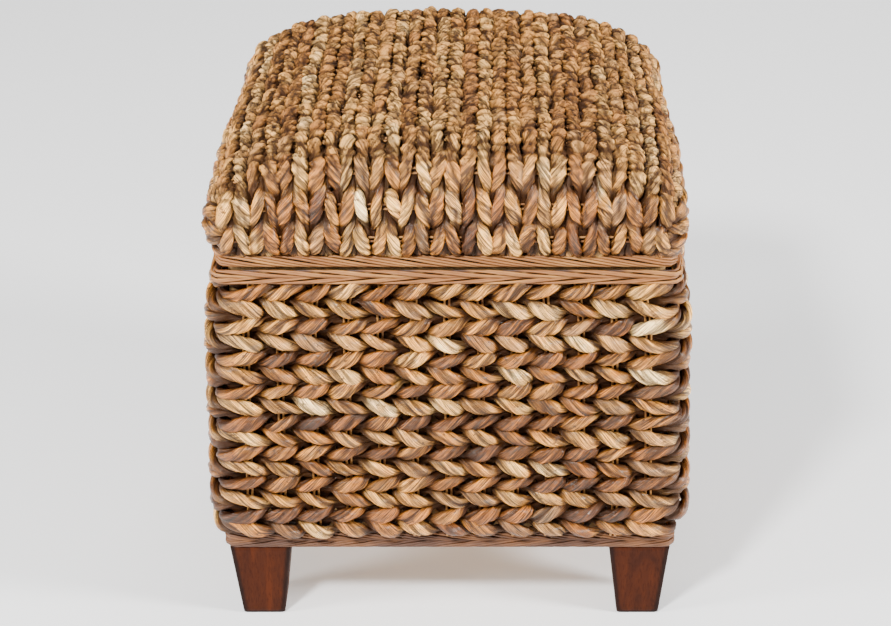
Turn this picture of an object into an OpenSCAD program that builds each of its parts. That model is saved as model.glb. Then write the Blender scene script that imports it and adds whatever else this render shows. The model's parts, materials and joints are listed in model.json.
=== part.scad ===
// Storage ottoman: rope-woven box on four square legs, with a domed lid hinged at the back.
// The front faces -Y. The origin is on the floor, under the middle of the body.

/* [Body] */
// Width over the crests of the woven sides
body_w = 460; // [440:1:500]
// Depth over the crests of the woven front and back
body_d = 400; // [380:1:440]
// Height of the woven body, from the leg tops to its upper edge
body_h = 305; // [290:1:330]
// Plan radius of the corners, over the crests
corner_r = 26.5; // [26:0.5:28]
// Thickness of the woven wall, crest to crest
wall_t = 24.4; // [23.5:0.1:25]
// Number of rope rows up the body
row_count = 16; // [15:1:17]
// Height of the braid round the upper edge of the body
rim_h = 13.5; // [12:0.5:16]
// Height of the braid round the bottom of the body
foot_braid_h = 19.5; // [16:0.5:20]

/* [Stakes] */
// Diameter of one stake rod
stake_d = 2.4; // [2:0.1:2.8]
// Distance between the two rods of a pair
stake_pair = 4.6; // [4:0.1:6]
// Stake pairs on the front and on the back
stakes_wide = 13; // [11:1:14]
// Stake pairs on each side
stakes_deep = 11; // [9:1:12]

/* [Legs] */
// Height of a leg
leg_h = 84; // [70:1:95]
// Width of a leg at its top
leg_top_w = 60; // [52:1:61]
// Width of a leg at the floor
leg_foot_w = 41.5; // [34:0.5:48]
// Diameter of the bolt that holds a leg
bolt_d = 8; // [6:1:10]

/* [Frame] */
// Side of a square corner post
post_w = 30; // [28:1:32]
// Thickness of the body's rails
rail_t = 18; // [16:1:20]
// Height of the upper rails
top_rail_h = 30; // [26:1:36]
// Height of the lower rails
low_rail_h = 28; // [24:1:32]
// Thickness of the floor panel
floor_t = 6; // [4:0.5:8]

/* [Lid] */
// Gap between the closed lid and the body
lid_gap = 0.8; // [0.6:0.1:1.2]
// Height of the lid, from its lower edge to the top of the dome
lid_h = 129; // [123:1:138]
// Height of the braid round the lid's lower edge
lid_rim_h = 13; // [11:0.5:14]
// Thickness of the lid's woven shell
lid_wall_t = 16; // [14:0.5:18]

/* [Hinges] */
// Distance of each hinge from the middle of the back
hinge_x = 120; // [90:1:140]
// Length of a hinge
hinge_len = 60; // [50:1:70]
// Outer radius of the hinge knuckles
knuckle_r = 3.2; // [3:0.1:3.4]
// Diameter of the hinge pin
pin_d = 3; // [2.8:0.1:3.2]

/* [Hidden] */
$fn = 48;

WOOD = "saddlebrown";
FRAME_WOOD = "burlywood";
ROPE = "peru";
ROD = "tan";
STEEL = "silver";

half_w = body_w / 2;
half_d = body_d / 2;
body_z0 = leg_h;
body_z1 = leg_h + body_h;
rows_z0 = body_z0 + foot_braid_h;
rows_z1 = body_z1 - rim_h;
row_pitch = (rows_z1 - rows_z0) / row_count;
row_r = row_pitch * 0.55;

// Radial places in the wall, measured from the vertical axis of a corner
axis_x = half_w - corner_r;
axis_y = half_d - corner_r;
wall_in = corner_r - wall_t;
stake_r = wall_in + 9.9;
skin_back = 3;

// Frame faces behind the weave
frame_gap = 0.2;
frame_x = axis_x + wall_in - frame_gap;
frame_y = axis_y + wall_in - frame_gap;
post_edge_r = 6;
floor_z = body_z0 + 1 + low_rail_h;
dowel_d = 8;
dowel_len = 40;

// Legs
leg_x = 186.8 + (body_w - 460) / 2;
leg_y = 159.5 + (body_d - 400) / 2;
leg_edge_r = 2.5;
bolt_x = frame_x - post_w / 2 - 4;
bolt_y = frame_y - post_w / 2 - 4;
bolt_in_leg = 40;
bolt_in_post = 50;

// Floor panel screws
screw_d = 3.5;
screw_head_d = 7;
screw_head_h = 2;
screw_len = 22;

// Braids: distance of their outer faces from the corner axes
rim_out = corner_r - 8.6;
foot_out = corner_r - 8;
braid_in = wall_in + 0.4;
nail_d = 1.6;
nail_head_d = 4;
nail_head_h = 1;
nail_turn = 20;

// Hinges, at the back of the lid line
leaf_t = 1.2;
leaf_w = hinge_len;
knuckle_count = 5;
knuckle_gap = 0.3;
running_gap = 0.05;
hinge_y = axis_y + rim_out + knuckle_r + 0.9;
hinge_z = body_z1 + lid_gap / 2;
leaf_y0 = frame_y - rail_t + 1.5;
base_screw_y = frame_y - rail_t / 2;
lid_screw_len = 16;
hinge_screw_d = 3;
hinge_screw_step = 20;

// Lid
lid_z0 = body_z1 + lid_gap;
lid_rail_t = 20;
lid_rail_h = 18;
lid_rim_out = corner_r - 13.6;
lid_rim_in = lid_rim_out - lid_wall_t;
lid_frame_gap = 0.8;
lid_x = axis_x + lid_rim_in - lid_frame_gap;
lid_y = axis_y + lid_rim_in - lid_frame_gap;
lid_post_w = 24;
board_t = 5;
board_z = lid_z0 + lid_rail_h;
inside_z = board_z + board_t;
lid_screw_y = lid_y - lid_rail_t / 2;

// Dome of the lid: half sizes where it bulges most, and the height of that line
dome_x = half_w - 4;
dome_y = half_d - 4;
bulge_z = lid_z0 + 47;
arch = 20;
crown = 4;
dome_rise = lid_z0 + lid_h - arch - crown - bulge_z;
draw_in = 9.6;
shoulder_x = 110;
shoulder_y = 48;
dome_corner_r = 24;
inner_corner_r = 2;
side_points = 12;
corner_points = 5;
top_rings = 12;
wall_rings = 4;
former_t = 12;
former_r = 616;
former_count = 5;
former_top = lid_z0 + lid_h - lid_wall_t - crown - 5;
former_half = lid_x - 4;
former_depth = 34;

// ---- Shared shapes ----

// A bar that runs along one straight side: 0 front, 1 right, 2 back, 3 left
module side_bar(side, length) {
    reach = side % 2 == 0 ? axis_y : axis_x;
    rotate([0, 0, 90 * side])
        translate([0, -reach, 0])
            rotate([90, 0, -90])
                linear_extrude(length, center = true)
                    children();
}

// A quarter turn round one corner: 0 back right, 1 back left, 2 front left, 3 front right
module corner_bar(corner) {
    sx = corner == 0 || corner == 3 ? 1 : -1;
    sy = corner < 2 ? 1 : -1;
    translate([sx * axis_x, sy * axis_y, 0])
        rotate([0, 0, 90 * corner])
            rotate_extrude(angle = 90)
                children();
}

// A closed ring that follows all four sides
module ring() {
    for (side = [0 : 3])
        side_bar(side, 2 * (side % 2 == 0 ? axis_x : axis_y))
            children();
    for (corner = [0 : 3])
        corner_bar(corner)
            children();
}

// Section of the outer faces of the rope rows
module outer_rows() {
    intersection() {
        union() {
            for (i = [0 : row_count - 1])
                translate([corner_r - row_r, rows_z0 + (i + 0.5) * row_pitch])
                    circle(r = row_r);
            translate([stake_r, rows_z0])
                square([stake_d / 2 + skin_back, rows_z1 - rows_z0]);
        }
        translate([stake_r + stake_d / 2, rows_z0])
            square([corner_r, rows_z1 - rows_z0]);
    }
}

// Section of the inner faces of the rope rows
module inner_rows() {
    skin_r = stake_r - stake_d / 2;
    intersection() {
        union() {
            for (i = [0 : row_count - 1])
                translate([wall_in + row_r, rows_z0 + (i + 0.5) * row_pitch])
                    circle(r = row_r);
            translate([skin_r - skin_back, rows_z0])
                square([skin_back, rows_z1 - rows_z0]);
        }
        translate([0, rows_z0])
            square([skin_r, rows_z1 - rows_z0]);
    }
}

// Section of a braid: a flat back and two rounded courses
module braid_section(inner, outer, height) {
    course_r = height / 4 + 0.6;
    intersection() {
        union() {
            translate([inner, 0])
                square([outer - inner - course_r, height]);
            for (z = [height / 4, height * 3 / 4])
                translate([outer - course_r, z])
                    circle(r = course_r);
        }
        translate([inner, 0])
            square([outer - inner, height]);
    }
}

module bolt_shank(x, y, z0, length, d) {
    translate([x, y, z0])
        cylinder(h = length, d = d);
}

// ---- Legs ----

module leg_solid(x_sign, y_sign) {
    color(WOOD)
    difference() {
        translate([x_sign * leg_x, y_sign * leg_y, 0])
            hull()
                for (sx = [-1, 1], sy = [-1, 1]) {
                    translate([sx * (leg_foot_w / 2 - leg_edge_r), sy * (leg_foot_w / 2 - leg_edge_r), 0])
                        cylinder(h = 0.5, r = leg_edge_r, $fn = 24);
                    translate([sx * (leg_top_w / 2 - leg_edge_r), sy * (leg_top_w / 2 - leg_edge_r), leg_h - 0.5])
                        cylinder(h = 0.5, r = leg_edge_r, $fn = 24);
                }
        bolt_shank(x_sign * bolt_x, y_sign * bolt_y, leg_h - bolt_in_leg, bolt_in_leg + 1, bolt_d);
    }
}

module leg_bolts() {
    color(STEEL)
        for (sx = [-1, 1], sy = [-1, 1])
            bolt_shank(sx * bolt_x, sy * bolt_y, leg_h - bolt_in_leg, bolt_in_leg + bolt_in_post, bolt_d);
}

// ---- Wooden frame of the body ----

// One dowel from a post into the end of a rail, for the front right corner
module corner_dowels() {
    for (z = [body_z0 + 1 + low_rail_h / 2, body_z1 - top_rail_h / 2]) {
        translate([frame_x - post_w + dowel_len / 2, -(frame_y - rail_t / 2), z - 5])
            rotate([0, -90, 0])
                cylinder(h = dowel_len, d = dowel_d);
        translate([frame_x - rail_t / 2, -(frame_y - post_w + dowel_len / 2), z + 5])
            rotate([-90, 0, 0])
                cylinder(h = dowel_len, d = dowel_d);
    }
}

module all_dowels() {
    for (mx = [0, 1], my = [0, 1])
        mirror([mx, 0, 0])
            mirror([0, my, 0])
                corner_dowels();
}

module post_section() {
    inset = post_w - post_edge_r;
    square([post_w, inset]);
    square([inset, post_w]);
    translate([inset, inset])
        circle(r = post_edge_r);
}

module post(x_sign, y_sign) {
    color(FRAME_WOOD)
    difference() {
        mirror([x_sign < 0 ? 1 : 0, 0, 0])
            mirror([0, y_sign < 0 ? 1 : 0, 0])
                translate([frame_x - post_w, frame_y - post_w, body_z0])
                    linear_extrude(body_h)
                        post_section();
        all_dowels();
        leg_bolts();
    }
}

// A rail between two posts: side 0 front, 1 right, 2 back, 3 left
module rail_block(side, z, height) {
    reach = side % 2 == 0 ? frame_y : frame_x;
    length = 2 * ((side % 2 == 0 ? frame_x : frame_y) - post_w);
    rotate([0, 0, 90 * side])
        translate([-length / 2, -reach, z])
            cube([length, rail_t, height]);
}

module top_rail(side) {
    color(FRAME_WOOD)
    difference() {
        rail_block(side, body_z1 - top_rail_h, top_rail_h);
        all_dowels();
        if (side == 2) {
            leaf_pockets(body_z1 - leaf_t, leaf_t + 1);
            hinge_base_screws();
        }
    }
}

module bottom_rail(side) {
    color(FRAME_WOOD)
    difference() {
        rail_block(side, body_z0 + 1, low_rail_h);
        all_dowels();
        floor_screws();
    }
}

module frame_dowels() {
    color(FRAME_WOOD)
        all_dowels();
}

module floor_panel() {
    clear = 0.5;
    color(FRAME_WOOD)
    difference() {
        translate([-frame_x, -frame_y, floor_z])
            cube([2 * frame_x, 2 * frame_y, floor_t]);
        for (sx = [-1, 1], sy = [-1, 1])
            translate([sx * frame_x, sy * frame_y, floor_z])
                cube([2 * (post_w + clear), 2 * (post_w + clear), 3 * floor_t], center = true);
        floor_screws();
    }
}

module countersunk_screw(length, d, head_d, head_h) {
    translate([0, 0, -length])
        cylinder(h = length, d = d);
    translate([0, 0, -head_h])
        cylinder(h = head_h, d1 = d, d2 = head_d);
}

module floor_screws() {
    z = floor_z + floor_t;
    color(STEEL) {
        for (sx = [-1, 0, 1], sy = [-1, 1])
            translate([sx * 130, sy * (frame_y - rail_t / 2), z])
                countersunk_screw(screw_len, screw_d, screw_head_d, screw_head_h);
        for (sx = [-1, 1], sy = [-1, 1])
            translate([sx * (frame_x - rail_t / 2), sy * 90, z])
                countersunk_screw(screw_len, screw_d, screw_head_d, screw_head_h);
    }
}

// ---- Woven walls, stakes and braids of the body ----

module woven_wall(side) {
    wraps = side % 2 == 0;
    length = 2 * (wraps ? axis_x : axis_y);
    corners = side == 0 ? [2, 3] : [0, 1];
    color(ROPE)
        for (face = [0, 1]) {
            side_bar(side, length)
                wall_face(face);
            if (wraps)
                for (corner = corners)
                    corner_bar(corner)
                        wall_face(face);
        }
}

module wall_face(face) {
    if (face == 0) outer_rows();
    else inner_rows();
}

module stake_row(side) {
    count = side % 2 == 0 ? stakes_wide : stakes_deep;
    span = 2 * (side % 2 == 0 ? axis_x : axis_y);
    reach = (side % 2 == 0 ? axis_y : axis_x) + stake_r;
    step = span / count;
    color(ROD)
        rotate([0, 0, 90 * side])
            for (i = [0 : count - 1], pair = [-0.5, 0.5])
                translate([(i - (count - 1) / 2) * step + pair * stake_pair, -reach, rows_z0])
                    cylinder(h = rows_z1 - rows_z0, d = stake_d, $fn = 24);
}

// The nails that hold the rim braid, one driven in at each corner, just round onto its side
module nail_set() {
    for (sx = [-1, 1], sy = [-1, 1])
        translate([sx * axis_x, sy * axis_y, body_z1 - rim_h * 3 / 4])
            rotate([0, 0, sx > 0 ? sy * nail_turn : 180 - sy * nail_turn])
                rotate([0, 90, 0]) {
                    translate([0, 0, braid_in])
                        cylinder(h = rim_out - braid_in, d = nail_d, $fn = 24);
                    translate([0, 0, rim_out])
                        cylinder(h = nail_head_h, d = nail_head_d, $fn = 24);
                }
}

module braid_nails() {
    color(STEEL)
        nail_set();
}

module body_rim_braid() {
    color(ROD)
    difference() {
        translate([0, 0, body_z1 - rim_h])
            ring()
                braid_section(braid_in, rim_out, rim_h);
        nail_set();
        leaf_pockets(body_z1 - leaf_t, leaf_t + 1);
    }
}

module body_foot_braid() {
    color(ROD)
        translate([0, 0, body_z0])
            ring()
                braid_section(braid_in, foot_out, foot_braid_h);
}

// ---- Hinges ----

// The slots that let the four hinge leaves in flush
module leaf_pockets(z, height) {
    for (s = [-1, 1])
        translate([s * hinge_x - leaf_w / 2, leaf_y0, z])
            cube([leaf_w, hinge_y - leaf_y0, height]);
}

// Places of the knuckles along the hinge, the first kind on the body and the second on the lid
module knuckles(first) {
    step = hinge_len / knuckle_count;
    for (i = [first : 2 : knuckle_count - 1])
        translate([-hinge_len / 2 + i * step + knuckle_gap / 2, 0, 0])
            rotate([0, 90, 0])
                cylinder(h = step - knuckle_gap, r = knuckle_r);
}

module base_leaf(x_sign) {
    color(STEEL)
    difference() {
        translate([x_sign * hinge_x, hinge_y, hinge_z]) {
            knuckles(0);
            difference() {
                translate([-leaf_w / 2, leaf_y0 - hinge_y, -lid_gap / 2 - leaf_t])
                    cube([leaf_w, hinge_y - leaf_y0, leaf_t]);
                knuckle_reliefs(1);
            }
        }
        pin_hole(x_sign, pin_d);
        hinge_base_screws();
    }
}

module lid_leaf(x_sign) {
    color(STEEL)
    difference() {
        translate([x_sign * hinge_x, hinge_y, hinge_z]) {
            knuckles(1);
            difference() {
                translate([-leaf_w / 2, leaf_y0 - hinge_y, lid_gap / 2])
                    cube([leaf_w, hinge_y - leaf_y0, leaf_t]);
                knuckle_reliefs(0);
            }
        }
        pin_hole(x_sign, pin_d + 2 * running_gap);
        hinge_lid_screws();
    }
}

// Room in one leaf for the other leaf's knuckles
module knuckle_reliefs(first) {
    step = hinge_len / knuckle_count;
    for (i = [first : 2 : knuckle_count - 1])
        translate([-hinge_len / 2 + i * step - knuckle_gap / 2, -knuckle_r - 0.4, -knuckle_r - 1])
            cube([step + knuckle_gap, 2 * knuckle_r + 2, 2 * knuckle_r + 2]);
}

module pin_hole(x_sign, d) {
    translate([x_sign * hinge_x - hinge_len, hinge_y, hinge_z])
        rotate([0, 90, 0])
            cylinder(h = 2 * hinge_len, d = d);
}

module hinge_pin(x_sign) {
    color(STEEL)
        translate([x_sign * hinge_x - hinge_len / 2, hinge_y, hinge_z])
            rotate([0, 90, 0])
                cylinder(h = hinge_len, d = pin_d);
}

module hinge_base_screws() {
    color(STEEL)
        for (s = [-1, 1], i = [-1 : 1])
            translate([s * hinge_x + i * hinge_screw_step, base_screw_y, body_z1])
                countersunk_screw(screw_len, hinge_screw_d, 2 * hinge_screw_d, leaf_t);
}

module hinge_lid_screws() {
    color(STEEL)
        for (s = [-1, 1], i = [-1 : 1])
            translate([s * hinge_x + i * hinge_screw_step, lid_screw_y, lid_z0])
                mirror([0, 0, 1])
                    countersunk_screw(lid_screw_len, hinge_screw_d, 2 * hinge_screw_d, leaf_t);
}

// ---- Lid ----

module lid_rail(side) {
    wide = side % 2 == 0;
    reach = wide ? lid_y : lid_x;
    length = 2 * (wide ? lid_x : lid_y - lid_rail_t);
    color(FRAME_WOOD)
    difference() {
        rotate([0, 0, 90 * side])
            translate([-length / 2, -reach, lid_z0])
                cube([length, lid_rail_t, lid_rail_h]);
        if (side == 2) {
            leaf_pockets(lid_z0 - 1, leaf_t + 1);
            hinge_lid_screws();
        }
    }
}

module lid_board() {
    color(FRAME_WOOD)
        translate([-lid_x, -lid_y, board_z])
            cube([2 * lid_x, 2 * lid_y, board_t]);
}

module lid_post(x_sign, y_sign) {
    inset = lid_post_w / 2 + 3;
    color(FRAME_WOOD)
        translate([x_sign * (lid_x - inset), y_sign * (lid_y - inset), inside_z + 16])
            cube([lid_post_w, lid_post_w, 32], center = true);
}

// An arched former, standing on the board across the lid
module former() {
    translate([0, former_t / 2, 0])
        rotate([90, 0, 0])
            linear_extrude(former_t)
                difference() {
                    intersection() {
                        translate([-former_half, inside_z])
                            square([2 * former_half, former_top - inside_z]);
                        translate([0, former_top - former_r])
                            circle(r = former_r, $fn = 96);
                    }
                    intersection() {
                        translate([-former_half + 30, inside_z - 1])
                            square([2 * former_half - 60, former_top]);
                        translate([0, former_top - former_r])
                            circle(r = former_r - former_depth, $fn = 96);
                    }
                }
}

// The formers stand in a row from front to back, between the lid's posts
module lid_former(i) {
    span = 2 * (lid_y - 2 * lid_post_w - 4);
    color(FRAME_WOOD)
        translate([0, -span / 2 + (i - 1) * span / (former_count - 1), 0])
            former();
}

module lid_rim_braid() {
    color(ROD)
    difference() {
        translate([0, 0, lid_z0])
            lid_ring()
                braid_section(0, lid_wall_t, lid_rim_h);
        leaf_pockets(lid_z0 - 1, leaf_t + 1);
    }
}

// A closed ring whose inner face has square corners, so that it meets the lid's rails
module lid_ring() {
    inner_x = axis_x + lid_rim_in;
    inner_y = axis_y + lid_rim_in;
    for (side = [0 : 3]) {
        wide = side % 2 == 0;
        rotate([0, 0, 90 * side])
            translate([0, -(wide ? inner_y : inner_x), 0])
                rotate([90, 0, -90])
                    linear_extrude(2 * (wide ? inner_x : inner_y), center = true)
                        children();
    }
    for (corner = [0 : 3]) {
        sx = corner == 0 || corner == 3 ? 1 : -1;
        sy = corner < 2 ? 1 : -1;
        translate([sx * inner_x, sy * inner_y, 0])
            rotate([0, 0, 90 * corner])
                rotate_extrude(angle = 90)
                    children();
    }
}

// How much of the dome's rise is left at a distance past the start of a shoulder
function fall(past, width) = past <= 0 ? 1 : sqrt(max(0, 1 - pow(past / width, 2)));

// Height of a dome over a plan point, for a dome whose outline is inset from the outer one
function dome_z(x, y, inset) =
    let (
        over_x = max(0, 1 - pow(x / dome_x, 2)),
        over_y = max(0, 1 - pow(y / dome_y, 2)),
        fall_x = fall(abs(x) - (dome_x - shoulder_x), shoulder_x - inset),
        fall_y = fall(abs(y) - (dome_y - shoulder_y), shoulder_y - inset))
    bulge_z + ((dome_rise - inset) * fall_x + arch * over_x) * fall_y + crown * over_x * over_y;

// Plan outline with rounded corners, as a list of points
function outline(hx, hy, r) = concat(
    outline_corner(hx, hy, r, 1, 1, 0), outline_side([hx - r, hy], [-(hx - r), hy]),
    outline_corner(hx, hy, r, -1, 1, 90), outline_side([-hx, hy - r], [-hx, -(hy - r)]),
    outline_corner(hx, hy, r, -1, -1, 180), outline_side([-(hx - r), -hy], [hx - r, -hy]),
    outline_corner(hx, hy, r, 1, -1, 270), outline_side([hx, -(hy - r)], [hx, hy - r]));

function outline_corner(hx, hy, r, sx, sy, start) = [
    for (i = [0 : corner_points])
        let (a = start + 90 * i / corner_points)
        [sx * (hx - r) + r * cos(a), sy * (hy - r) + r * sin(a)]];

function outline_side(from, to) = [
    for (i = [1 : side_points - 1])
        from + (to - from) * i / side_points];

// One ring of the wall below the bulge: it draws in towards the rim braid
function wall_ring(inset, r, j) =
    let (
        t = j / wall_rings,
        z = lid_z0 + lid_rim_h + t * (bulge_z - lid_z0 - lid_rim_h),
        hx = dome_x - inset - draw_in * pow(1 - t, 4),
        hy = dome_y - inset - draw_in * pow(1 - t, 4))
    [for (p = outline(hx, hy, r)) [p[0], p[1], z]];

// One ring of the top: the outline drawn together towards the middle
function top_ring(inset, r, j) =
    let (k = cos(90 * j / (top_rings + 0.5)))
    [for (p = outline(dome_x - inset, dome_y - inset, r))
        [k * p[0], k * p[1], dome_z(k * p[0], k * p[1], inset)]];

function dome_points(inset, r) = concat(
    [for (j = [0 : wall_rings]) each wall_ring(inset, r, j)],
    [for (j = [1 : top_rings]) each top_ring(inset, r, j)]);

module lid_weave() {
    n = len(outline(dome_x, dome_y, dome_corner_r));
    rings = wall_rings + 1 + top_rings;
    outer = dome_points(0, dome_corner_r);
    inner = dome_points(lid_wall_t, inner_corner_r);
    apex = [0, 0, dome_z(0, 0, 0)];
    inner_apex = [0, 0, dome_z(0, 0, lid_wall_t)];
    count = n * rings;
    color(ROPE)
        polyhedron(
            points = concat(outer, inner, [apex, inner_apex]),
            faces = concat(
                [for (j = [0 : rings - 2], i = [0 : n - 1]) each skin_faces(i, j, n, 0, false)],
                [for (j = [0 : rings - 2], i = [0 : n - 1]) each skin_faces(i, j, n, count, true)],
                [for (i = [0 : n - 1]) [count - n + (i + 1) % n, count - n + i, 2 * count]],
                [for (i = [0 : n - 1]) [2 * count - n + i, 2 * count - n + (i + 1) % n, 2 * count + 1]],
                [for (i = [0 : n - 1]) [i, (i + 1) % n, count + (i + 1) % n]],
                [for (i = [0 : n - 1]) [i, count + (i + 1) % n, count + i]]));
}

// The two triangles between point i of ring j and the next ring
function skin_faces(i, j, n, start, flip) =
    let (
        a = start + j * n + i,
        b = start + j * n + (i + 1) % n,
        c = b + n,
        d = a + n)
    flip ? [[a, b, c], [a, c, d]] : [[a, c, b], [a, d, c]];

// ---- Nodes ----

leg_solid(-1, -1);  // leg_front_left
leg_solid(1, -1);  // leg_front_right
leg_solid(-1, 1);  // leg_back_left
leg_solid(1, 1);  // leg_back_right
leg_bolts();
post(-1, -1);  // post_front_left
post(1, -1);  // post_front_right
post(-1, 1);  // post_back_left
post(1, 1);  // post_back_right
top_rail(0);  // top_rail_front
top_rail(1);  // top_rail_right
top_rail(2);  // top_rail_back
top_rail(3);  // top_rail_left
bottom_rail(0);  // bottom_rail_front
bottom_rail(1);  // bottom_rail_right
bottom_rail(2);  // bottom_rail_back
bottom_rail(3);  // bottom_rail_left
frame_dowels();
floor_panel();
floor_screws();
woven_wall(0);  // woven_front
woven_wall(1);  // woven_right
woven_wall(2);  // woven_back
woven_wall(3);  // woven_left
stake_row(0);  // stakes_front
stake_row(1);  // stakes_right
stake_row(2);  // stakes_back
stake_row(3);  // stakes_left
body_rim_braid();
body_foot_braid();
braid_nails();
base_leaf(-1);  // hinge_left_base_leaf
base_leaf(1);  // hinge_right_base_leaf
lid_leaf(-1);  // hinge_left_lid_leaf
lid_leaf(1);  // hinge_right_lid_leaf
hinge_pin(-1);  // hinge_left_pin
hinge_pin(1);  // hinge_right_pin
hinge_base_screws();
hinge_lid_screws();
lid_rail(0);  // lid_rail_front
lid_rail(1);  // lid_rail_right
lid_rail(2);  // lid_rail_back
lid_rail(3);  // lid_rail_left
lid_post(-1, -1);  // lid_post_front_left
lid_post(1, -1);  // lid_post_front_right
lid_post(-1, 1);  // lid_post_back_left
lid_post(1, 1);  // lid_post_back_right
lid_board();
lid_former(1);  // lid_former_1
lid_former(2);  // lid_former_2
lid_former(3);  // lid_former_3
lid_former(4);  // lid_former_4
lid_former(5);  // lid_former_5
lid_rim_braid();
lid_weave();
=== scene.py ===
import json
import math

import bpy
import numpy as np
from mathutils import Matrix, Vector


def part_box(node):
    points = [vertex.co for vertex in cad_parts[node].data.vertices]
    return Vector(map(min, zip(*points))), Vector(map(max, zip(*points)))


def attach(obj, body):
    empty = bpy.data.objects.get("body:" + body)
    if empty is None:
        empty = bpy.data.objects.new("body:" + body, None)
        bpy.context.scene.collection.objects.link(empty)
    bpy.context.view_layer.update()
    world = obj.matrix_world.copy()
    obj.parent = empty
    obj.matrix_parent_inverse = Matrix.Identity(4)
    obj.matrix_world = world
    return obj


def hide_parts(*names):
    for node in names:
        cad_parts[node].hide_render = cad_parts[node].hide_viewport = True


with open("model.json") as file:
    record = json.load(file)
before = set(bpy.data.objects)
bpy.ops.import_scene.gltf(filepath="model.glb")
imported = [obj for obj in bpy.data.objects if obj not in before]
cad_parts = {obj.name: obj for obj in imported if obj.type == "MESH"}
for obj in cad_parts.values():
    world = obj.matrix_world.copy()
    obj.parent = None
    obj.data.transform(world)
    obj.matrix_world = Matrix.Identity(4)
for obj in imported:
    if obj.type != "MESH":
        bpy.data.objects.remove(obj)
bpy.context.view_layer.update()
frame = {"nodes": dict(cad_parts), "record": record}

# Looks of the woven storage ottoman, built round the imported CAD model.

UP = np.array([0.0, 0.0, 1.0])

# ---------------------------------------------------------------- sizes taken from the frame

MM = 0.001
wall_low, wall_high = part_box("woven_front")
lid_low, lid_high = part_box("lid_weave")
side_low, side_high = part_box("woven_left")
BODY_HALF_X = wall_high.x
BODY_HALF_Y = -wall_low.y
ROWS_LOW, ROWS_HIGH = wall_low.z, wall_high.z
WALL_HALF = (side_high.x - side_low.x) / 2
LID_HALF_X = lid_high.x
LID_HALF_Y = lid_high.y
LID_RIM_TOP = lid_low.z
LID_TOP = lid_high.z

# ---------------------------------------------------------------- shapes and looks in numbers

# Weave of the body. It flares towards the foot, and tucks in at both ends.
ROW_COUNT = 16
STAKES_WIDE = 13
STAKES_DEEP = 11
CORNER_R = BODY_HALF_Y + side_low.y
TOP_OFFSET = 1.0 * MM
FLARE = 6.0 * MM
TOP_TUCK = 6.0 * MM
TOP_TUCK_HEIGHT = 45 * MM
FOOT_TUCK = 2.5 * MM
FOOT_TUCK_HEIGHT = 26 * MM

# Pairs of stakes
STAKE_R = 1.15 * MM
STAKE_PAIR = 4.6 * MM
STAKE_OVERRUN = 4 * MM

# Points round a thin rod, in a stake or in a braid
ROD_AROUND = 8

# Tone and warmth of the body's rows, which alternate, and how the tone climbs from the foot: painted light,
# darker rows low down and paler rows near the top
RISING_LOOK = (0.40, 0.78)
FALLING_LOOK = (0.68, 0.30)
PAINTED_LIGHT_CLIMB = 0.26
TONE_DROP = 0.23
ROW_TONE_SPREAD = 0.03

# Braids: strands that wind round one another, each a flat bundle of thin rods
BRAID_CORNER_R = 7.0 * MM
BRAID_ROD_R = 1.25 * MM
BRAID_DEPTH = 4.2 * MM
BRAID_STRANDS = 3
BRAID_STROKE = 50 * MM
BRAID_SWING = 2.9 * MM
BRAID_ROD_LAG = 0.62
BRAID_RINGS = 9
BRAID_TONE_SPREAD = 0.15
BRAID_ROD_TONE_SPREAD = 0.12

# Width of a leg at the floor, as a share of its width at the top
LEG_TAPER = 41.5 / 60

# Dome of the lid, as in the CAD model
DRAW_IN = 9.6 * MM
ARCH = 20 * MM
CROWN = 4 * MM
SHOULDER_X = 110 * MM
SHOULDER_Y = 48 * MM
DOME_CORNER_R = 24 * MM
BULGE_Z = LID_RIM_TOP + 34 * MM
DOME_RISE = LID_TOP - ARCH - CROWN - BULGE_Z

# Weave of the lid. Its sides close in between the two distances, counted from the middle backwards.
LID_TAPER = 0.05
LID_TAPER_FROM = -60 * MM
LID_TAPER_TO = 120 * MM
LID_DEPTH = 9.0 * MM
LID_ROPE_COUNT = 30
LID_ROPE_PITCH = 13.95 * MM
LID_ROPE_TUCK = 3 * MM
LID_TONES = [0.36, 0.44, 0.5, 0.58, 0.66]
LID_TONE_SHARES = [0.12, 0.2, 0.26, 0.24, 0.18]
LID_STAKES = 16
LID_FIRST_STAKE = 24 * MM
LID_SIDE_ROPES = 5
LID_SIDE_GAP = 31.5 * MM
LID_SIDE_MARGIN = 20 * MM

# Leaf strands: points round one, rings for each stake, and the leaf's own twist in radians a metre
AROUND = 28
PER_STAKE = 18
LID_PER_STAKE = 24
LEAF_TWIST = 100.0
LEAF_CREASES = 7
LAP_HEIGHT = 0.22
CREASE_DEPTH = 0.26

# The share of a turn that a stroke in front takes, and how much fuller a strand is on the inside
FRONT_SHARE = 0.62
INNER_FULLNESS = 0.3

# How strands differ from pass to pass: as factors, in millimetres, and as shares of the colour range
GIRTH = (0.82, 1.18)
TALLNESS = (0.86, 1.12)
LEAN = (0.82, 1.15)
SIDE_SPREAD = 0.8
SLIP_SPREAD = 1.6
SLIP_MOST = 3.2
TINT_SPREAD = 0.17
HUE_SPREAD = 0.25

# How far a rope wanders off its line in each of two slow waves
DRIFT = 0.5 * MM

# A rope counts as flat by how far its normal points up. On top of the lid it is tighter and rougher, paler as
# painted light, and painted darker as shade in the hollows between its lumps.
FLAT_FROM = 0.35
FLAT_FULLY = 0.85
FLAT_EVEN_TINT = 0.62
FLAT_PAINTED_LIGHT = 0.12
FLAT_PINCH = 0.86
FLAT_LESS_OUT = 0.3
FLAT_LESS_SIDE = 0.72
FLAT_WIDER = 0.02
FLAT_THICKER = 0.22
FLAT_LUMPS = 0.3
FLAT_GRAIN = 0.09
FLAT_CREASE_SHADE = 0.9

# Ranges for a random phase, and for where a strand starts along its texture
ANY_PHASE = (0, 6.3)
ANY_START = (0, 3)

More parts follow.
